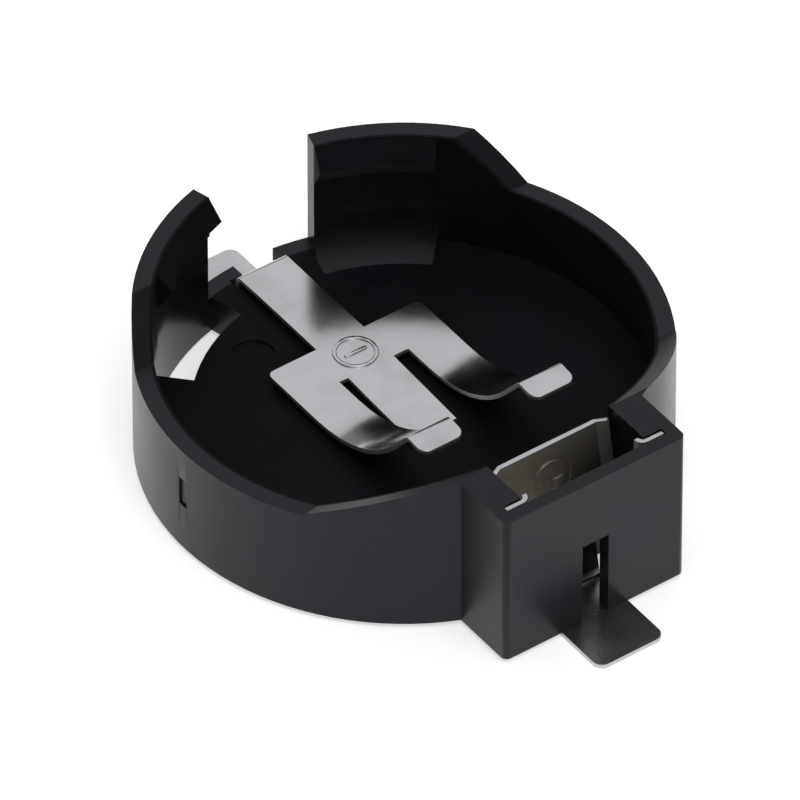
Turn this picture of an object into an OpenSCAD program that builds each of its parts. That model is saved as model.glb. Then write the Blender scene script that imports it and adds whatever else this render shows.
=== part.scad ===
// Surface-mount holder for one coin cell. The cell drops in from above, snaps under two
// ears at one end and is pressed against an upright contact in the box at the other end.
// Everything is drawn about the cell's axis, with the board at z = 0, and then moved so that
// the origin is on the board, midway between the ends of the two solder tabs.

/* [Coin cell] */
// Diameter of the coin cell
cell_d = 20; // [18:0.5:24]
// Thickness of the coin cell
cell_h = 3.2; // [2.5:0.1:5]
// Clearance round the cell
cell_gap = 0.2; // [0.1:0.05:0.4]
// Height kept free under the cell for the pressed fingers
spring_room = 0.8; // [0.7:0.05:1.4]

/* [Housing] */
// Thickness of the round wall
wall = 0.85; // [0.7:0.05:1.4]
// Height of the cell floor above the underside
floor_h = 1.8; // [1.4:0.1:3]
// Thickness of the floor over the hollow underside
floor_t = 1; // [0.6:0.1:1.3]
// Width of the ring that the housing stands on, inside the core slots
foot_ring = 0.5; // [0.3:0.1:1.5]
// Height of the low rim above the floor
rim_h = 3.45; // [2.5:0.05:3.9]
// Slope of the rim where it climbs to the box, in degrees
box_ramp = 28.5; // [24:0.5:45]
// Slope of the rim where it climbs to the ears, in degrees
ear_ramp = 48; // [40:1:70]

/* [Snap ears] */
// Half of the open angle between the ears, in degrees
gap_half = 15; // [12:0.5:20]
// Angle that each snap lip covers, in degrees
lip_sweep = 28.5; // [20:0.5:34]
// Flat top of each ear past its lip, in degrees
ear_flat = 7.5; // [4:0.5:10]
// How far a lip reaches over the edge of the cell
lip_grip = 0.45; // [0.3:0.05:0.6]
// Height of a lip's tip above the edge that it holds
lip_rise = 0.7; // [0.5:0.05:1.2]
// Height of the lead-in slope above a lip's tip
lead_h = 0.95; // [0.5:0.05:1.1]
// Width of the lead-in slope
lead_w = 0.7; // [0.4:0.05:0.9]
// Width of the core slot in the floor under each lip
slot_w = 1.5; // [1.1:0.1:2]

/* [Contact box] */
// Reach of the box past the round wall
box_reach = 2.05; // [1.9:0.05:3]
// Width of the box
box_w = 9; // [8.6:0.1:12]
// Radius on the upright edges of the box
box_edge = 0.3; // [0.1:0.05:0.5]
// Thickness of the front wall of the box
box_front = 0.6; // [0.4:0.05:0.8]
// Width of the relief slot in the front wall
relief_w = 1.3; // [0.8:0.1:2]
// Height of the relief slot above the underside
relief_h = 4.15; // [2:0.05:5.5]

/* [Negative contact] */
// Thickness of the spring sheet
sheet = 0.2; // [0.15:0.01:0.3]
// Width of the tail and of the negative solder tab
tail_w = 2.4; // [1.6:0.1:3]
// Reach of the negative solder tab past the round wall
tab_reach = 2.6; // [1.5:0.1:4]
// Height of the flat hub above the floor
hub_lift = 0.3; // [0.2:0.05:0.5]
// Distance from the cell's axis to the back edge of the hub
hub_back = 4.45; // [3.8:0.05:5.5]
// Length of the hub
hub_l = 2.15; // [2:0.05:2.6]
// Width over both outer fingers
fingers_w = 7.65; // [6.8:0.05:9]
// How far the wings and the outer fingers stand off centre, towards +y
fingers_off = 0.15; // [0:0.05:0.3]
// Width of each outer finger
finger_w = 2.1; // [1.4:0.05:2.4]
// Width of the middle tongue
tongue_w = 2.3; // [1.6:0.1:2.6]
// Length of the middle tongue
tongue_l = 4.3; // [3.8:0.1:5]
// Length of each finger's flat start
finger_flat = 1.65; // [1:0.05:2.2]
// Radius of the long curve of each finger
finger_r = 6.8; // [6:0.1:7.5]
// Slope of each finger where its long curve ends, in degrees
finger_rise = 51; // [44:1:56]
// Length of the straight climb after the long curve
finger_run = 1.35; // [0.8:0.05:1.8]
// Length of the flat tip of each finger
tip_l = 0.95; // [0.6:0.05:1.3]

/* [Positive contact] */
// How far the plate stands in the way of the cell
preload = 0.35; // [0.1:0.05:0.5]
// Width of the plate that the cell touches
plate_w = 5.9; // [5:0.1:6.2]
// Height of the plate's top edge below the top of the box
plate_drop = 0.5; // [0.2:0.05:1.5]
// Lean of the plate towards the cell, in degrees
plate_lean = 11; // [6:0.5:12]
// Length of the margin bent back at each end of the plate
margin_l = 0.55; // [0.3:0.05:0.8]
// Turn of those margins, in degrees
margin_turn = 32; // [10:1:40]
// Width of the positive solder tab
pad_w = 3.3; // [2:0.1:4]
// Reach of the positive solder tab past the box
pad_reach = 2.55; // [1.5:0.05:4]
// Length of each side flange
flange_l = 0.95; // [0.6:0.05:1.1]

/* [Marks] */
// Radius of the rings round the polarity signs
sign_r = 0.95; // [0.6:0.05:1]
// Width of the lines of the polarity signs
sign_line = 0.16; // [0.1:0.01:0.25]
// Height of the polarity signs above the sheet
sign_h = 0.06; // [0.03:0.01:0.1]
// Radius of the ejector marks in the floor
ejector_r = 0.95; // [0.5:0.05:1.2]

/* [Hidden] */
$fn = 96;

play = 0.05;
over = 1;
turn_step = 7;
core_relief = 0.1;
core_turn = 1;
ramp_land = 0.7;
seat_in = 0.2;
tab_corner = 0.45;
hub_corner = 0.3;
fold_in = 0.2;
bend_r = 1.5 * sheet;
tongue_r = 1;
tip_r = 0.3;
tip_dip = 6;
arm_h = 2.5;
sign_drop = 0.65;
mark_depth = 0.1;
bar_w = 0.5;
bar_h = 1.4;
bar_z = 3;

r_in = cell_d / 2 + cell_gap;
r_out = r_in + wall;
z_under = sheet;
z_floor = z_under + floor_h;
z_rim = z_floor + rim_h;
z_hold = z_floor + spring_room + cell_h;
z_tip = z_hold + lip_rise;
z_top = z_tip + lead_h;
r_tip = cell_d / 2 - lip_grip;
undercut = lip_rise / lip_grip;

ear_end = 180 - gap_half;
lip_end = ear_end - lip_sweep;
ear_top_x = -r_out * cos(180 - lip_end + ear_flat);

box_x = r_out + box_reach;
pocket_x = box_x - box_front;
pocket_w = plate_w + 4 * play;
flange_x = pocket_x - sheet;
z_flange = z_floor + sheet;
z_root = z_hold - undercut * (cell_gap + core_relief);
arm_top = z_floor + arm_h;

z_hub = z_floor + hub_lift;
hub_front = hub_l - hub_back;
fold_x = -(r_in - fold_in);
tab_x = -(r_out + tab_reach);
pad_x = box_x + pad_reach;
origin_x = (tab_x + pad_x) / 2;

// Stations along the middle of a bent sheet. Each step is [straight length, turn, bend radius]
// and a station is [x, z, heading].
function walk(steps, x, z, a, i = 0) =
    i == len(steps) ? [[x, z, a]] :
    let (run = steps[i][0], turn = steps[i][1], r = steps[i][2], s = sign(turn))
    let (qx = x + run * cos(a), qz = z + run * sin(a))
    let (cx = qx - s * r * sin(a), cz = qz + s * r * cos(a))
    let (n = max(1, ceil(abs(turn) / turn_step)))
    let (bend = [for (k = [1 : n]) let (b = a + turn * k / n)
        [cx + s * r * sin(b), cz - s * r * cos(b), b]])
    let (last = turn == 0 ? [qx, qz, a] : bend[n - 1])
    concat([[x, z, a], [qx, qz, a]], turn == 0 ? [] : [for (k = [0 : n - 2]) bend[k]],
        walk(steps, last[0], last[1], last[2], i + 1));

// Outline of a sheet that follows the stations
function side(stations, offset) =
    [for (p = stations) [p[0] - offset * sin(p[2]), p[1] + offset * cos(p[2])]];
function flip(points) = [for (i = [len(points) - 1 : -1 : 0]) points[i]];

module sheet_profile(stations) {
    polygon(concat(side(stations, sheet / 2), flip(side(stations, -sheet / 2))));
}

// A profile in x and z, made as wide as w and centred on y = 0
module across(w) {
    translate([0, w / 2, 0]) rotate([90, 0, 0]) linear_extrude(w) children();
}

module rounded_rect(x0, x1, w, r) {
    translate([x0, -w / 2 + r]) square([x1 - x0, w - 2 * r]);
    translate([x0 + r, -w / 2]) square([x1 - x0 - 2 * r, w]);
    for (x = [x0 + r, x1 - r], y = [-1, 1]) translate([x, y * (w / 2 - r)]) circle(r);
}

// A ring sector between two angles
module sector(r0, r1, z0, z1, a0, a1) {
    rotate([0, 0, a0]) rotate_extrude(angle = a1 - a0)
        translate([r0, z0]) square([r1 - r0, z1 - z0]);
}

module both_sides() {
    children();
    mirror([0, 1, 0]) children();
}

// The round wall and the box at full height
module shell() {
    translate([0, 0, z_under]) {
        cylinder(r = r_out, h = z_top - z_under);
        linear_extrude(z_top - z_under) rounded_rect(0, box_x, box_w, box_edge);
    }
}

// What lies over the low rim and its two slopes
module over_rim() {
    rise = z_top - z_rim;
    low_x0 = ear_top_x + rise / tan(ear_ramp);
    high_x1 = sqrt(pow(r_in, 2) - pow(box_w / 2, 2)) + ramp_land;
    low_x1 = high_x1 - rise / tan(box_ramp);
    top = rise + over;
    across(2 * r_out + over) polygon([
        [low_x0, z_rim], [low_x1, z_rim],
        [low_x1 + top / tan(box_ramp), z_rim + top],
        [low_x0 - top / tan(ear_ramp), z_rim + top]]);
}

// A snap lip, with the sloped underside that draws the cell down and the lead-in slope
module lip() {
    rotate([0, 0, lip_end]) rotate_extrude(angle = lip_sweep) polygon([
        [r_in + core_relief, z_root], [r_in + wall / 2, z_root], [r_in + wall / 2, z_top],
        [r_tip + lead_w, z_top], [r_tip, z_tip]]);
}

// Pocket for the positive contact, open to the cell and to the board
module contact_pocket() {
    translate([r_in - over, -pocket_w / 2, z_floor])
        cube([pocket_x - r_in + over, pocket_w, z_top]);
    translate([r_in, -pocket_w / 2, 0]) cube([pocket_x - r_in, pocket_w, z_top]);
    both_sides() translate([flange_x - sheet / 2 - play, 0, z_flange])
        cube([sheet + 2 * play, plate_w / 2 + flange_l + play, z_top]);
}

// Way through the floor for the folded tail, open outwards over one part of the solder tab
module tail_way() {
    half = tail_w / 2 + 2 * play;
    x0 = fold_x - bend_r - 2 * play;
    x1 = fold_x + sheet / 2 + 2 * play;
    translate([x0, -half, 0]) cube([x1 - x0, 2 * half, z_top]);
    translate([-r_out - over, -half / 2, 0]) cube([r_out + over + x1, 1.5 * half, z_top]);
}

// Seat under the tail and the hub
module seat() {
    x0 = fold_x + 2 * bend_r;
    translate([x0, -tail_w / 2 + seat_in, z_floor - floor_t / 2])
        cube([-hub_back - x0 + hub_l / 2, tail_w - 2 * seat_in, floor_t / 2 + hub_lift]);
}

// Open angle between the ears
module ear_gap() {
    reach = 2 * r_out;
    translate([0, 0, z_floor]) linear_extrude(z_top)
        polygon([[0, 0], [-reach, reach * tan(gap_half)], [-reach, -reach * tan(gap_half)]]);
}

// Slot in the floor under each lip, left by the core that shapes the lip's underside
module core_slots() {
    both_sides() sector(r_in - slot_w, r_in + core_relief, 0, z_root,
        lip_end, ear_end + core_turn);
}

module housing() {
    color([0.09, 0.09, 0.1]) difference() {
        union() {
            difference() {
                shell();
                translate([0, 0, z_floor]) cylinder(r = r_in, h = z_top);
                over_rim();
                core_slots();
                ear_gap();
            }
            both_sides() lip();
            seat();
        }
        contact_pocket();
        tail_way();
        // Hollow underside
        translate([0, 0, z_under - over])
            cylinder(r = r_in - slot_w - foot_ring, h = floor_h - floor_t + over);
        // Ejector marks
        both_sides() translate([-0.6 * r_in, 0.31 * r_in, z_floor - mark_depth])
            cylinder(r = ejector_r, h = over);
        // Relief slot in the front wall
        translate([pocket_x - over, -relief_w / 2, 0])
            cube([box_front + 2 * over, relief_w, z_under + relief_h]);
        // Plain bar on the side of the round wall
        translate([0, -r_out, z_under + bar_z])
            cube([bar_w, 2 * mark_depth, bar_h], center = true);
    }
}

// The polarity signs, drawn from z0 to z1
module ring(z0, z1) {
    translate([0, 0, z0]) difference() {
        cylinder(r = sign_r, h = z1 - z0);
        translate([0, 0, -over]) cylinder(r = sign_r - sign_line, h = z1 - z0 + 2 * over);
    }
}

module bar(z0, z1) {
    half = 0.55 * sign_r;
    translate([-sign_line / 2, -half, z0]) cube([sign_line, 2 * half, z1 - z0]);
}

module plus_sign(z0, z1) {
    ring(z0, z1);
    bar(z0, z1);
    rotate([0, 0, 90]) bar(z0, z1);
}

// Solder tab, fold and tail
module tail() {
    run = fold_x - bend_r - tab_x;
    climb = z_hub - 2 * bend_r;
    path = walk([[run, 90, bend_r], [climb, -90, bend_r], [-hub_back - fold_x, 0, 1]],
        tab_x, sheet / 2, 0);
    intersection() {
        across(tail_w) sheet_profile(path);
        linear_extrude(z_top) rounded_rect(tab_x, 0, tail_w, tab_corner);
    }
}

// Flat hub with its two wings
module hub() {
    translate([0, fingers_off, z_hub]) linear_extrude(sheet) {
        rounded_rect(-hub_back, hub_front, fingers_w, hub_corner);
        translate([hub_front - hub_l / 2, -fingers_w / 2]) square([hub_l / 2, fingers_w]);
    }
    translate([hub_front - hub_l / 2, 0, z_hub]) {
        ring(sheet / 2, sheet + sign_h);
        bar(sheet / 2, sheet + sign_h);
    }
}

// Middle tongue, which slopes down until its end is close to the floor
module tongue() {
    dip = asin(hub_lift / (tongue_l + tongue_r));
    across(tongue_w) sheet_profile(walk([[0, -dip, tongue_r], [tongue_l, 0, 1]],
        hub_front, z_hub + sheet / 2, 0));
}

// Outer finger: it leaves the hub flat, climbs on a long curve and ends in a flat tip
module finger() {
    path = walk([
        [finger_flat, finger_rise, finger_r],
        [finger_run, -finger_rise - tip_dip, tip_r],
        [tip_l, 0, 1]],
        hub_front - hub_corner, z_hub + sheet / 2, 0);
    intersection() {
        across(2 * r_in) sheet_profile(path);
        translate([0, (fingers_w - finger_w) / 2]) linear_extrude(z_top)
            rounded_rect(-hub_back, path[len(path) - 1][0], finger_w, tab_corner);
    }
}

module negative_contact() {
    color([0.75, 0.75, 0.76]) union() {
        tail();
        hub();
        tongue();
        translate([0, fingers_off, 0]) both_sides() finger();
    }
}

module positive_contact() {
    z_plate = z_top - plate_drop;
    mid_top = cell_d / 2 - preload + sheet / 2;
    bend_top = sheet / 2 + bend_r * (1 - sin(plate_lean));
    foot_x = mid_top + (z_plate - bend_top) * tan(plate_lean) + bend_r * cos(plate_lean);
    path = walk([[pad_x - foot_x, plate_lean - 90, bend_r], [2 * z_plate, 0, 1]],
        pad_x, sheet / 2, 180);
    arm_y = (plate_w - sheet) / 2 - play;
    sign_z = z_plate - sign_r - sign_drop;
    face_half = plate_w / 2 - margin_l;
    face_l = (z_plate - arm_top - play) / cos(plate_lean);
    arm_run = flange_x - mid_top - bend_r;
    arm_path = walk([[arm_run, 90, bend_r], [plate_w / 2 + flange_l - arm_y - bend_r, 0, 1]],
        mid_top, arm_y, 0);
    color([0.75, 0.75, 0.76]) difference() {
        union() {
            // Solder tab, bend and narrow foot of the plate
            intersection() {
                across(pad_w) sheet_profile(path);
                linear_extrude(z_floor + over / 2) rounded_rect(0, pad_x, pad_w, tab_corner);
            }
            // Leaning plate, full width behind the arms
            intersection() {
                across(plate_w) sheet_profile(path);
                translate([0, -plate_w / 2, z_floor]) cube([pad_x, plate_w, arm_top - z_floor]);
            }
            intersection() {
                across(2 * face_half) sheet_profile(path);
                translate([0, -face_half, z_floor]) cube([pad_x, 2 * face_half, z_plate - z_floor]);
            }
            // Margins bent back at the plate's ends
            both_sides() plate_face(mid_top, z_plate, z_plate) translate([0, face_half, 0]) {
                rotate([0, 90, 0]) cylinder(r = sheet / 2, h = face_l);
                rotate([margin_turn, 0, 0]) translate([0, 0, -sheet / 2])
                    cube([face_l, margin_l, sheet]);
            }
            // Arms and flanges
            both_sides() intersection() {
                linear_extrude(z_top) sheet_profile(arm_path);
                across(2 * box_w) polygon([
                    [mid_top + (z_plate - z_flange) * tan(plate_lean), z_flange],
                    [pocket_x, z_flange], [pocket_x, z_top - play],
                    [flange_x - bend_r, z_top - play], [flange_x - 2 * bend_r, arm_top],
                    [mid_top + (z_plate - arm_top) * tan(plate_lean), arm_top]]);
            }
            plate_face(mid_top, z_plate, sign_z) plus_sign(-sheet / 2 - sign_h, 0);
        }
        plate_face(mid_top, z_plate, sign_z) plus_sign(sheet / 2 - sign_h, over);
    }
}

// Place on the plate, level with z
module plate_face(mid_top, z_plate, z) {
    translate([mid_top + (z_plate - z) * tan(plate_lean), 0, z])
        rotate([0, 90 - plate_lean, 0]) children();
}

translate([-origin_x, 0, 0]) {
    housing();
    negative_contact();
    positive_contact();
}
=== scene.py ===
from math import cos, pi, radians, sin

import bmesh
import bpy
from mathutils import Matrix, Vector


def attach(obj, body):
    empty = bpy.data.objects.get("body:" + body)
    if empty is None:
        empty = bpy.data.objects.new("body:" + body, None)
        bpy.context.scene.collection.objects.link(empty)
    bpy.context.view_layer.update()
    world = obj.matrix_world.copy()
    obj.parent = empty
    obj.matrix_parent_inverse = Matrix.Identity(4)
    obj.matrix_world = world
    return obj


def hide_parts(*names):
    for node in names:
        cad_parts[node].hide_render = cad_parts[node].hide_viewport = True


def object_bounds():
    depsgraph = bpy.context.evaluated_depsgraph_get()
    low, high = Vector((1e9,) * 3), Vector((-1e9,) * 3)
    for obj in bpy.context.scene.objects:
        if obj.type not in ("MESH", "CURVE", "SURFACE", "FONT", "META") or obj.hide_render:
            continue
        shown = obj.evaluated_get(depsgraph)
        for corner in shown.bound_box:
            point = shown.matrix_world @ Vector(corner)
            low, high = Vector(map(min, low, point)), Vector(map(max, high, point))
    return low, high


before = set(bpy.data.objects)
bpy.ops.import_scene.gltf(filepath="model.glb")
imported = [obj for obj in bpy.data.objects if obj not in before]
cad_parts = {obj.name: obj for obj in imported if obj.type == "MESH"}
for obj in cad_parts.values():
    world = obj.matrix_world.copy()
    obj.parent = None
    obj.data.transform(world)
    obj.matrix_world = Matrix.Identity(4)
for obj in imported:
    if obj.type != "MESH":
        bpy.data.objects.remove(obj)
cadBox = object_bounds()
mm = 0.001
print("frame loaded:", ", ".join(sorted(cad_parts)))


# sRGB hex to the linear values that the shader sockets take
def linear(hexColor):
    channels = [int(hexColor[i:i + 2], 16) / 255 for i in (1, 3, 5)]
    return [c / 12.92 if c <= 0.04045 else ((c + 0.055) / 1.055) ** 2.4 for c in channels] + [1]


# adds one node: settings are attributes, inputs are values by socket, links are outputs by socket
def addNode(tree, kind, settings=None, inputs=None, links=None):
    node = tree.nodes.new(kind)
    for name, value in (settings or {}).items():
        setattr(node, name, value)
    for socket, value in (inputs or {}).items():
        node.inputs[socket].default_value = value
    for socket, output in (links or {}).items():
        tree.links.new(output, node.inputs[socket])
    return node


def newMaterial(name):
    material = bpy.data.materials.new(name)
    material.use_nodes = True
    material.node_tree.nodes.clear()
    return material, material.node_tree


# Black glass-filled thermoplastic, moulded in a spark-eroded tool: a soft dark sheen with a fine
# grain, paler rubbed edges, and a dull pocket
plastic = {
    "color": "#0D0C0F",
    "cloudColor": "#151318",
    "cloudMm": 5.0,
    "cloudSpan": (0.35, 0.70),    # of the noise, from one colour to the other
    "roughness": (0.26, 0.36),
    "roughSpan": (0.30, 0.70),
    "ior": 1.52,
    "specular": 0.32,             # a resin full of carbon black gives back little light
    "sheenTint": "#E3DCEE",
    "grainMm": 0.16,              # spark grain is about 0.05 mm, drawn coarser so that it shows
    "grainDepthMm": 0.004,
    "wornColor": "#3A393C",
    "edgeMm": 0.12,
    "edgeTurn": (0.97, 0.75),     # cosines of the turn where wear begins and where it is full
    "rubMm": 0.5,
    "rubSpan": (0.45, 0.68),
    "rubMost": 0.55,
    "pocketAxisMm": (-1.0, 0.0, 0.0),
    "pocketMm": (10.35, 10.29),   # the tool was left rough inside this radius
    "pocketLevel": (0.6, 0.9),    # on faces that point up, which are the floor
    "pocketEarsMm": (3.4, 4.2),   # and above this height, which are the ears
    "pocketRoughness": 0.62,
    "pocketSpecular": 0.10,
}


def makePlastic():
    p = plastic
    material, tree = newMaterial("mouldedBlackThermoplastic")
    place = addNode(tree, "ShaderNodeTexCoord").outputs["Object"]
    normal = addNode(tree, "ShaderNodeNewGeometry").outputs["Normal"]

    cloud = addNode(tree, "ShaderNodeTexNoise",
                    inputs={"Scale": 1 / (p["cloudMm"] * mm), "Detail": 4.0, "Roughness": 0.6},
                    links={"Vector": place})
    mottle = addNode(tree, "ShaderNodeMapRange",
                     inputs={"From Min": p["cloudSpan"][0], "From Max": p["cloudSpan"][1]},
                     links={"Value": cloud.outputs["Fac"]})
    body = addNode(tree, "ShaderNodeMix", {"data_type": "RGBA"},
                   {"A": linear(p["color"]), "B": linear(p["cloudColor"])},
                   {"Factor": mottle.outputs["Result"]})
    sheen = addNode(tree, "ShaderNodeMapRange",
                    inputs={"From Min": p["roughSpan"][0], "From Max": p["roughSpan"][1],
                            "To Min": p["roughness"][0], "To Max": p["roughness"][1]},
                    links={"Value": cloud.outputs["Fac"]})
    grain = addNode(tree, "ShaderNodeTexNoise",
                    inputs={"Scale": 1 / (p["grainMm"] * mm), "Detail": 2.0, "Roughness": 0.6},
                    links={"Vector": place})
    bump = addNode(tree, "ShaderNodeBump",
                   inputs={"Strength": 1.0, "Distance": p["grainDepthMm"] * mm},
                   links={"Height": grain.outputs["Fac"]})

    # rubbed edges: where the rounded normal leaves the flat one, in patches
    rounded = addNode(tree, "ShaderNodeBevel", {"samples": 6}, {"Radius": p["edgeMm"] * mm})
    match = addNode(tree, "ShaderNodeVectorMath", {"operation": "DOT_PRODUCT"},
                    links={0: rounded.outputs["Normal"], 1: normal})
    edge = addNode(tree, "ShaderNodeMapRange",
                   inputs={"From Min": p["edgeTurn"][0], "From Max": p["edgeTurn"][1]},
                   links={"Value": match.outputs["Value"]})
    rub = addNode(tree, "ShaderNodeTexNoise",
                  inputs={"Scale": 1 / (p["rubMm"] * mm), "Detail": 5.0, "Roughness": 0.7},
                  links={"Vector": place})
    patches = addNode(tree, "ShaderNodeMapRange",
                      inputs={"From Min": p["rubSpan"][0], "From Max": p["rubSpan"][1],
                              "To Max": p["rubMost"]},
                      links={"Value": rub.outputs["Fac"]})
    worn = addNode(tree, "ShaderNodeMath", {"operation": "MULTIPLY"},
                   links={0: edge.outputs["Result"], 1: patches.outputs["Result"]})
    color = addNode(tree, "ShaderNodeMix", {"data_type": "RGBA"}, {"B": linear(p["wornColor"])},
                    {"Factor": worn.outputs["Value"], "A": body.outputs["Result"]})

    # the dull pocket: near the cell's axis, and level or high up
    offset = addNode(tree, "ShaderNodeVectorMath", {"operation": "SUBTRACT"},
                     {1: [v * mm for v in p["pocketAxisMm"]]}, {0: place})
    flattened = addNode(tree, "ShaderNodeVectorMath", {"operation": "MULTIPLY"}, {1: (1, 1, 0)},
                        {0: offset.outputs["Vector"]})
    reach = addNode(tree, "ShaderNodeVectorMath", {"operation": "LENGTH"},
                    links={0: flattened.outputs["Vector"]})
    inside = addNode(tree, "ShaderNodeMapRange",
                     inputs={"From Min": p["pocketMm"][0] * mm, "From Max": p["pocketMm"][1] * mm},
                     links={"Value": reach.outputs["Value"]})
    facing = addNode(tree, "ShaderNodeSeparateXYZ", links={"Vector": normal})
    level = addNode(tree, "ShaderNodeMapRange",
                    inputs={"From Min": p["pocketLevel"][0], "From Max": p["pocketLevel"][1]},
                    links={"Value": facing.outputs["Z"]})
    height = addNode(tree, "ShaderNodeSeparateXYZ", links={"Vector": place})
    ears = addNode(tree, "ShaderNodeMapRange",
                   inputs={"From Min": p["pocketEarsMm"][0] * mm,
                           "From Max": p["pocketEarsMm"][1] * mm},
                   links={"Value": height.outputs["Z"]})
    either = addNode(tree, "ShaderNodeMath", {"operation": "MAXIMUM"},
                     links={0: level.outputs["Result"], 1: ears.outputs["Result"]})
    pocket = addNode(tree, "ShaderNodeMath", {"operation": "MULTIPLY"},
                     links={0: inside.outputs["Result"], 1: either.outputs["Value"]})
    rough = addNode(tree, "ShaderNodeMix", {"data_type": "FLOAT"}, {"B": p["pocketRoughness"]},
                    {"Factor": pocket.outputs["Value"], "A": sheen.outputs["Result"]})
    specular = addNode(tree, "ShaderNodeMapRange",
                       inputs={"To Min": p["specular"], "To Max": p["pocketSpecular"]},
                       links={"Value": pocket.outputs["Value"]})

    shader = addNode(tree, "ShaderNodeBsdfPrincipled",
                     inputs={"IOR": p["ior"], "Metallic": 0.0,
                             "Specular Tint": linear(p["sheenTint"])},
                     links={"Base Color": color.outputs["Result"],
                            "Roughness": rough.outputs["Result"],
                            "Specular IOR Level": specular.outputs["Result"],
                            "Normal": bump.outputs["Normal"]})
    addNode(tree, "ShaderNodeOutputMaterial", links={"Surface": shader.outputs["BSDF"]})
    return material


# Nickel over spring bronze sheet, rolled, stamped and folded: bright faces that bend what they
# mirror, a faint grain along the strip, and matt cut edges
nickel = {
    "color": "#CFCDD1",
    "tarnishColor": "#C2BFC3",
    "cloudMm": 2.5,
    "tarnishSpan": (0.30, 0.55),
    "roughness": (0.12, 0.19),
    "roughSpan": (0.25, 0.75),
    "grainMm": 0.05,
    "grainStretch": 18.0,
    "grainDepthMm": 0.0012,
    "waveMm": 3.2,                # the sheet is never quite flat after the press
    "waveDepthMm": 0.012,
    "cutRoughness": 0.50,         # the cut edges, torn by the press, catch light from all sides
    "cutLevel": (0.55, 0.35),
    "dullColor": "#DAD2C1",       # faces of the upright plate under a coat of press oil; the light end of painted shading
    "dullRoughness": 0.56,
    "dullFromMm": (0.25, 0.60),
    "dullUpright": (0.35, 0.95),
    "paintedShadeColor": "#24221F",       # painted shade: darkest near the board and towards +Y, where the box shades the plate
    "paintedShadeAxis": (0.0, -0.6, 1.0),
    "paintedShadeMm": (3.0, 8.5),
}
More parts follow.
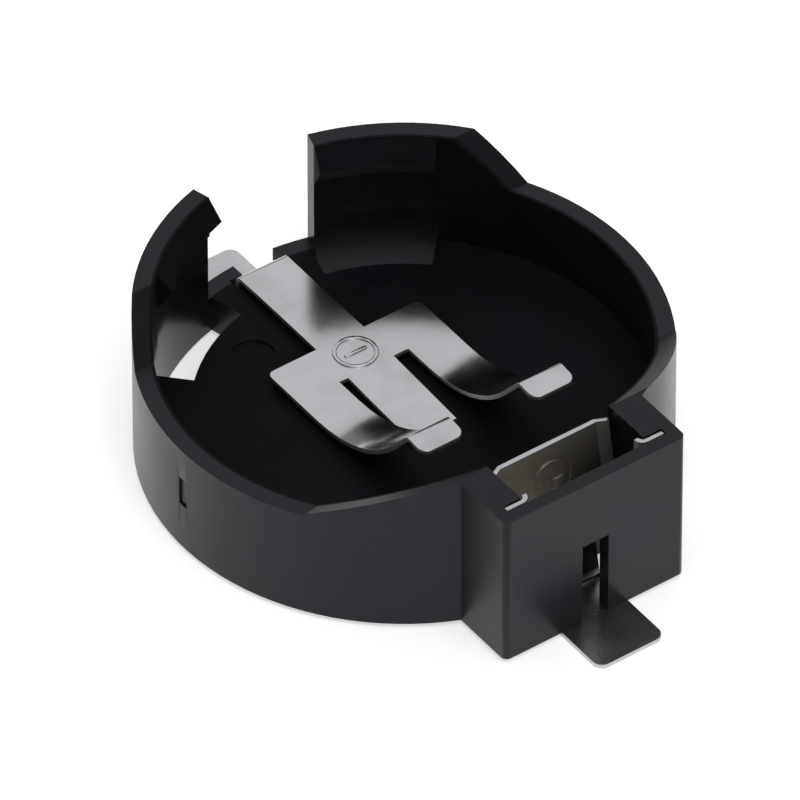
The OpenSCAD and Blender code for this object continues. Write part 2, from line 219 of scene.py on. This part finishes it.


# share of the oil coat and its painted shade on upright faces; extraRoughness is added everywhere
def makeNickel(name, dull, extraRoughness):
    n = nickel
    material, tree = newMaterial(name)
    place = addNode(tree, "ShaderNodeTexCoord").outputs["Object"]
    normal = addNode(tree, "ShaderNodeNewGeometry").outputs["Normal"]
    facing = addNode(tree, "ShaderNodeSeparateXYZ", links={"Vector": normal})
    height = addNode(tree, "ShaderNodeSeparateXYZ", links={"Vector": place})

    cloud = addNode(tree, "ShaderNodeTexNoise",
                    inputs={"Scale": 1 / (n["cloudMm"] * mm), "Detail": 4.0, "Roughness": 0.6},
                    links={"Vector": place})
    clean = addNode(tree, "ShaderNodeMapRange",
                    inputs={"From Min": n["tarnishSpan"][0], "From Max": n["tarnishSpan"][1]},
                    links={"Value": cloud.outputs["Fac"]})
    color = addNode(tree, "ShaderNodeMix", {"data_type": "RGBA"},
                    {"A": linear(n["tarnishColor"]), "B": linear(n["color"])},
                    {"Factor": clean.outputs["Result"]})
    rough = addNode(tree, "ShaderNodeMapRange",
                    inputs={"From Min": n["roughSpan"][0], "From Max": n["roughSpan"][1],
                            "To Min": n["roughness"][0] + extraRoughness,
                            "To Max": n["roughness"][1] + extraRoughness},
                    links={"Value": cloud.outputs["Fac"]})

    # rolling grain along X, over a long soft unevenness
    along = addNode(tree, "ShaderNodeMapping",
                    inputs={"Scale": (1 / n["grainStretch"], 1.0, 1.0)}, links={"Vector": place})
    grain = addNode(tree, "ShaderNodeTexNoise",
                    inputs={"Scale": 1 / (n["grainMm"] * mm), "Detail": 2.0, "Roughness": 0.55},
                    links={"Vector": along.outputs["Vector"]})
    rolled = addNode(tree, "ShaderNodeBump",
                     inputs={"Strength": 1.0, "Distance": n["grainDepthMm"] * mm},
                     links={"Height": grain.outputs["Fac"]})
    wave = addNode(tree, "ShaderNodeTexNoise",
                   inputs={"Scale": 1 / (n["waveMm"] * mm), "Detail": 1.0, "Roughness": 0.4},
                   links={"Vector": place})
    uneven = addNode(tree, "ShaderNodeBump",
                     inputs={"Strength": 1.0, "Distance": n["waveDepthMm"] * mm},
                     links={"Height": wave.outputs["Fac"], "Normal": rolled.outputs["Normal"]})

    # matt where a face stands on edge
    levelness = addNode(tree, "ShaderNodeMath", {"operation": "ABSOLUTE"},
                        links={0: facing.outputs["Z"]})
    cut = addNode(tree, "ShaderNodeMapRange",
                  inputs={"From Min": n["cutLevel"][0], "From Max": n["cutLevel"][1]},
                  links={"Value": levelness.outputs["Value"]})
    sheared = addNode(tree, "ShaderNodeMix", {"data_type": "FLOAT"}, {"B": n["cutRoughness"]},
                      {"Factor": cut.outputs["Result"], "A": rough.outputs["Result"]})

    # the oil coat on faces that look along X, above the board, with painted light and shade on it
    above = addNode(tree, "ShaderNodeMapRange",
                    inputs={"From Min": n["dullFromMm"][0] * mm,
                            "From Max": n["dullFromMm"][1] * mm, "To Max": dull},
                    links={"Value": height.outputs["Z"]})
    sideways = addNode(tree, "ShaderNodeMath", {"operation": "ABSOLUTE"},
                       links={0: facing.outputs["X"]})
    upright = addNode(tree, "ShaderNodeMapRange",
                      inputs={"From Min": n["dullUpright"][0], "From Max": n["dullUpright"][1]},
                      links={"Value": sideways.outputs["Value"]})
    filmAndPaintedShade = addNode(tree, "ShaderNodeMath", {"operation": "MULTIPLY"},
                     links={0: above.outputs["Result"], 1: upright.outputs["Result"]})
    # painted shade and light: darker towards the board and +Y, lighter at the upper -Y end
    across = addNode(tree, "ShaderNodeVectorMath", {"operation": "DOT_PRODUCT"},
                     {1: n["paintedShadeAxis"]}, {0: place})
    shadeToLight = addNode(tree, "ShaderNodeMapRange",
                   inputs={"From Min": n["paintedShadeMm"][0] * mm, "From Max": n["paintedShadeMm"][1] * mm},
                   links={"Value": across.outputs["Value"]})
    filmWithPaintedShade = addNode(tree, "ShaderNodeMix", {"data_type": "RGBA"},
                   {"A": linear(n["paintedShadeColor"]), "B": linear(n["dullColor"])},
                   {"Factor": shadeToLight.outputs["Result"]})
    tone = addNode(tree, "ShaderNodeMix", {"data_type": "RGBA"},
                   links={"Factor": filmAndPaintedShade.outputs["Value"], "A": color.outputs["Result"],
                          "B": filmWithPaintedShade.outputs["Result"]})
    finish = addNode(tree, "ShaderNodeMix", {"data_type": "FLOAT"}, {"B": n["dullRoughness"]},
                     {"Factor": filmAndPaintedShade.outputs["Value"], "A": sheared.outputs["Result"]})

    shader = addNode(tree, "ShaderNodeBsdfPrincipled", inputs={"Metallic": 1.0},
                     links={"Base Color": tone.outputs["Result"],
                            "Roughness": finish.outputs["Result"],
                            "Normal": uneven.outputs["Normal"]})
    addNode(tree, "ShaderNodeOutputMaterial", links={"Surface": shader.outputs["BSDF"]})
    return material


plasticMaterial = makePlastic()
nickelMaterial = makeNickel("nickelPlatedSpringSheet", dull=0.0, extraRoughness=0.0)
# the upright plate gets the oil coat with its painted shade
dullShadedNickelMaterial = makeNickel("dullNickelSheetPaintedShade", dull=1.0, extraRoughness=0.12)
print("materials made")


weldMm = 0.0005
flatDegrees = 0.5


# a CAD node's triangles, merged, with its flat faces joined and its edges broken
def finishedCopy(nodeName, pieceName, edgeMm, segments, sharpDegrees):
    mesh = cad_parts[nodeName].data.copy()
    shape = bmesh.new()
    shape.from_mesh(mesh)
    bmesh.ops.remove_doubles(shape, verts=shape.verts, dist=weldMm * mm)
    bmesh.ops.dissolve_limit(shape, angle_limit=radians(flatDegrees), verts=shape.verts,
                             edges=shape.edges)
    bmesh.ops.dissolve_degenerate(shape, dist=2 * weldMm * mm, edges=shape.edges)
    shape.to_mesh(mesh)
    shape.free()
    mesh.materials.clear()
    piece = bpy.data.objects.new(pieceName, mesh)
    bpy.context.scene.collection.objects.link(piece)
    bevel = piece.modifiers.new("brokenEdges", "BEVEL")
    bevel.width = edgeMm * mm
    bevel.segments = segments
    bevel.limit_method = "ANGLE"
    bevel.angle_limit = radians(sharpDegrees)
    bevel.miter_outer = "MITER_ARC"
    bevel.use_clamp_overlap = True
    bevel.loop_slide = True
    weigh = piece.modifiers.new("flatFacesLead", "WEIGHTED_NORMAL")
    weigh.keep_sharp = True
    for face in mesh.polygons:
        face.use_smooth = True
    return piece


def place(piece, nodeName, slotName, material):
    piece.data.materials.append(material)
    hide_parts(nodeName)
    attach(piece, "root")


housing = {"edgeMm": 0.13, "segments": 3, "sharpDegrees": 28}
housingPiece = finishedCopy("housing", "mouldedHousing", **housing)
place(housingPiece, "housing", "moulding", plasticMaterial)
print("housing made")

negative = {"edgeMm": 0.05, "segments": 2, "sharpDegrees": 28}
negativePiece = finishedCopy("negative_contact", "negativeSpring", **negative)
place(negativePiece, "negative_contact", "contact_metal", nickelMaterial)

positive = {"edgeMm": 0.05, "segments": 2, "sharpDegrees": 28}
positivePiece = finishedCopy("positive_contact", "positiveSpring", **positive)
place(positivePiece, "positive_contact", "contact_metal", dullShadedNickelMaterial)
print("contacts made")


studio = {
    "floorHalf": 0.6,
    "floorGapMm": 0.02,
    "floorColor": "#F4F4F4",
    "floorLift": 0.55,         # so that the paper reads white, also where it is mirrored
    "worldGrey": 0.26,
    # azimuth 0 is -Y, and distances and sizes are in metres
    "lamps": {
        "backSoftBox": {"azimuth": 234, "elevation": 47, "distance": 0.38,
                        "size": (0.46, 0.36), "radiance": 0.50},
        "topSoftBox": {"azimuth": 54, "elevation": 80, "distance": 0.40,
                       "size": (0.16, 0.16), "radiance": 2.4},
        "leftSoftBox": {"azimuth": 315, "elevation": 25, "distance": 0.35,
                        "size": (0.20, 0.20), "radiance": 1.2},
        "frontFill": {"azimuth": 86, "elevation": 54, "distance": 0.50,
                      "size": (0.30, 0.30), "radiance": 2.0},
    },
}


# a unit vector away from the holder, towards an azimuth and an elevation
def towards(azimuth, elevation):
    a, e = radians(azimuth), radians(elevation)
    return Vector((sin(a) * cos(e), -cos(a) * cos(e), sin(e)))


# white paper, whose own light only the camera and reflections see
def makeFloor():
    half = studio["floorHalf"]
    mesh = bpy.data.meshes.new("paperFloor")
    mesh.from_pydata([(-half, -half, 0), (half, -half, 0), (half, half, 0), (-half, half, 0)],
                     [], [(0, 1, 2, 3)])
    floor = bpy.data.objects.new("paperFloor", mesh)
    bpy.context.scene.collection.objects.link(floor)
    floor.location.z = cadBox[0][2] - studio["floorGapMm"] * mm
    material, tree = newMaterial("whitePaper")
    paper = addNode(tree, "ShaderNodeBsdfDiffuse", inputs={"Color": linear(studio["floorColor"])})
    path = addNode(tree, "ShaderNodeLightPath")
    mirrored = addNode(tree, "ShaderNodeMath", {"operation": "ADD"},
                       links={0: path.outputs["Is Glossy Ray"],
                              1: path.outputs["Is Transmission Ray"]})
    seen = addNode(tree, "ShaderNodeMath", {"operation": "ADD", "use_clamp": True},
                   links={0: path.outputs["Is Camera Ray"], 1: mirrored.outputs["Value"]})
    lift = addNode(tree, "ShaderNodeMath", {"operation": "MULTIPLY"}, {1: studio["floorLift"]},
                   {0: seen.outputs["Value"]})
    glow = addNode(tree, "ShaderNodeEmission", links={"Strength": lift.outputs["Value"]})
    both = addNode(tree, "ShaderNodeAddShader",
                   links={0: paper.outputs["BSDF"], 1: glow.outputs["Emission"]})
    addNode(tree, "ShaderNodeOutputMaterial", links={"Surface": both.outputs["Shader"]})
    mesh.materials.append(material)


def makeWorld():
    world = bpy.data.worlds.new("greyStudio")
    bpy.context.scene.world = world
    world.use_nodes = True
    tree = world.node_tree
    tree.nodes.clear()
    light = addNode(tree, "ShaderNodeBackground",
                    inputs={"Color": (1, 1, 1, 1), "Strength": studio["worldGrey"]})
    addNode(tree, "ShaderNodeOutputWorld", links={"Surface": light.outputs["Background"]})


def makeLamp(name, azimuth, elevation, distance, size, radiance):
    lamp = bpy.data.lights.new(name, "AREA")
    lamp.shape = "RECTANGLE"
    lamp.size, lamp.size_y = size
    lamp.energy = radiance * size[0] * size[1] * pi
    holder = bpy.data.objects.new(name, lamp)
    bpy.context.scene.collection.objects.link(holder)
    away = towards(azimuth, elevation)
    holder.location = away * distance
    holder.rotation_euler = away.to_track_quat("Z", "Y").to_euler()


cameraView = {
    "azimuth": 54.0,
    "elevation": 42.37,
    "targetMm": (-0.35, -0.68, 3.20),
    "distanceMm": 800,
    "widthMm": 32.48,          # across the view at the target
    "sensor": 36,
    "clip": (0.05, 10),
}


def makeCamera():
    c = cameraView
    data = bpy.data.cameras.new("productCamera")
    data.sensor_width = c["sensor"]
    data.lens = c["sensor"] * c["distanceMm"] / c["widthMm"]
    data.clip_start, data.clip_end = c["clip"]
    camera = bpy.data.objects.new("productCamera", data)
    bpy.context.scene.collection.objects.link(camera)
    back = towards(c["azimuth"], c["elevation"])
    camera.location = (Vector(c["targetMm"]) + back * c["distanceMm"]) * mm
    camera.rotation_euler = back.to_track_quat("Z", "Y").to_euler()
    bpy.context.scene.camera = camera


makeFloor()
makeWorld()
for lampName, lampValues in studio["lamps"].items():
    makeLamp(lampName, **lampValues)
makeCamera()
bpy.context.scene.view_settings.view_transform = "Standard"
print("studio made")
